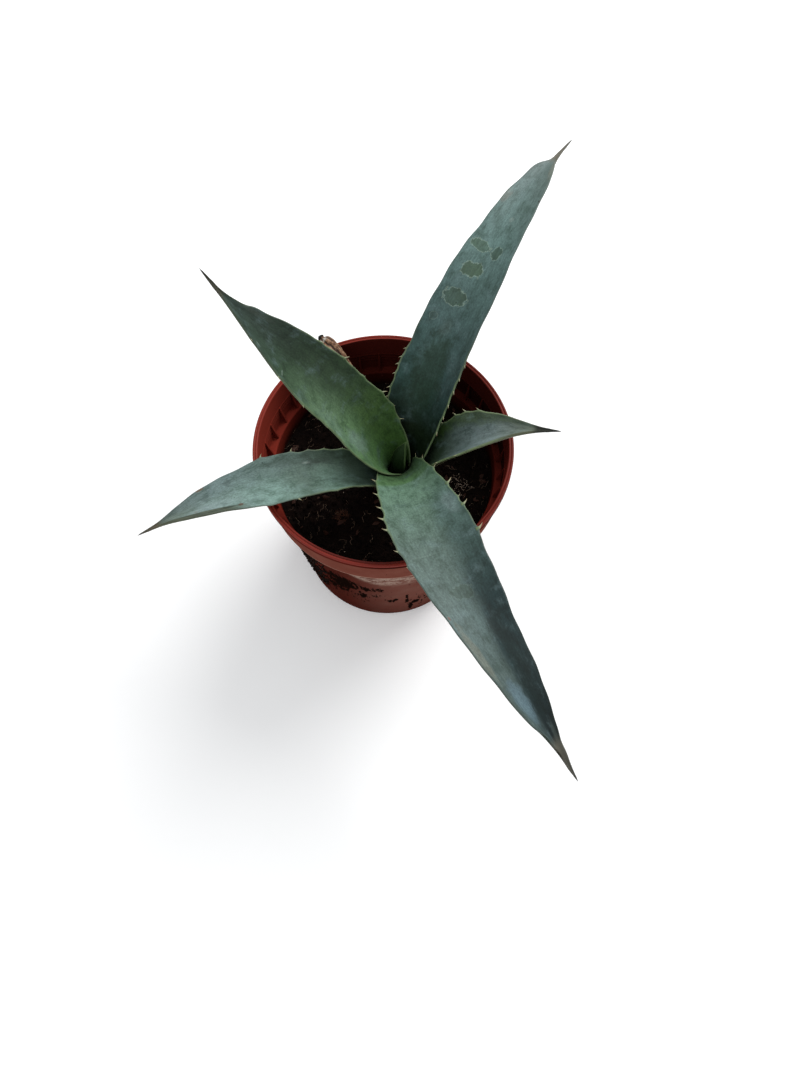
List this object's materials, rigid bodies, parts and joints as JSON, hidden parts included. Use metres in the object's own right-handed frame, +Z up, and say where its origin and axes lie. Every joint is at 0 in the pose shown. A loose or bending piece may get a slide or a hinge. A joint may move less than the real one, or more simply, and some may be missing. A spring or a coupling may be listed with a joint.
{
  "type": "potted agave",
  "caption": "Young agave rosette with toothed, spine-tipped, channelled leaves, one of them withered, growing in a soil-filled round plastic nursery pot with a ribbed inner collar.",
  "frame": {"origin": "centre of the underside of the pot, on the surface it stands on", "axes": "+Z up along the pot's axis; -Y towards the viewer of the reference view, the side that the longest leaf comes towards; +X to the right of that view"},
  "size_m": [0.2577, 0.3499, 0.271],
  "materials": {
    "pot_plastic": "satin terracotta-red moulded plastic, dusty and scuffed",
    "soil": "dark lumpy peat potting mix with pale fibres and a few white grains",
    "stem": "pale dry leaf scars",
    "bud": "dark green furled leaf with a waxy sheen",
    "leaf_green": "green waxy leaf with a light bloom and pale horny margins",
    "leaf_glaucous": "blue-grey waxy bloom over green, with pale horny margins and teeth",
    "dry_leaf": "tan crinkled dry leaf with a blackened tip"
  },
  "bodies": {
    "root": {"pot": "pot_plastic", "soil": "soil", "stem": "stem", "bud": "bud", "leaf_inner": "leaf_green", "leaf_front": "leaf_glaucous", "leaf_back": "leaf_glaucous", "leaf_left": "leaf_glaucous", "leaf_right": "leaf_glaucous", "leaf_withered": "dry_leaf"}
  },
  "joints": []
}
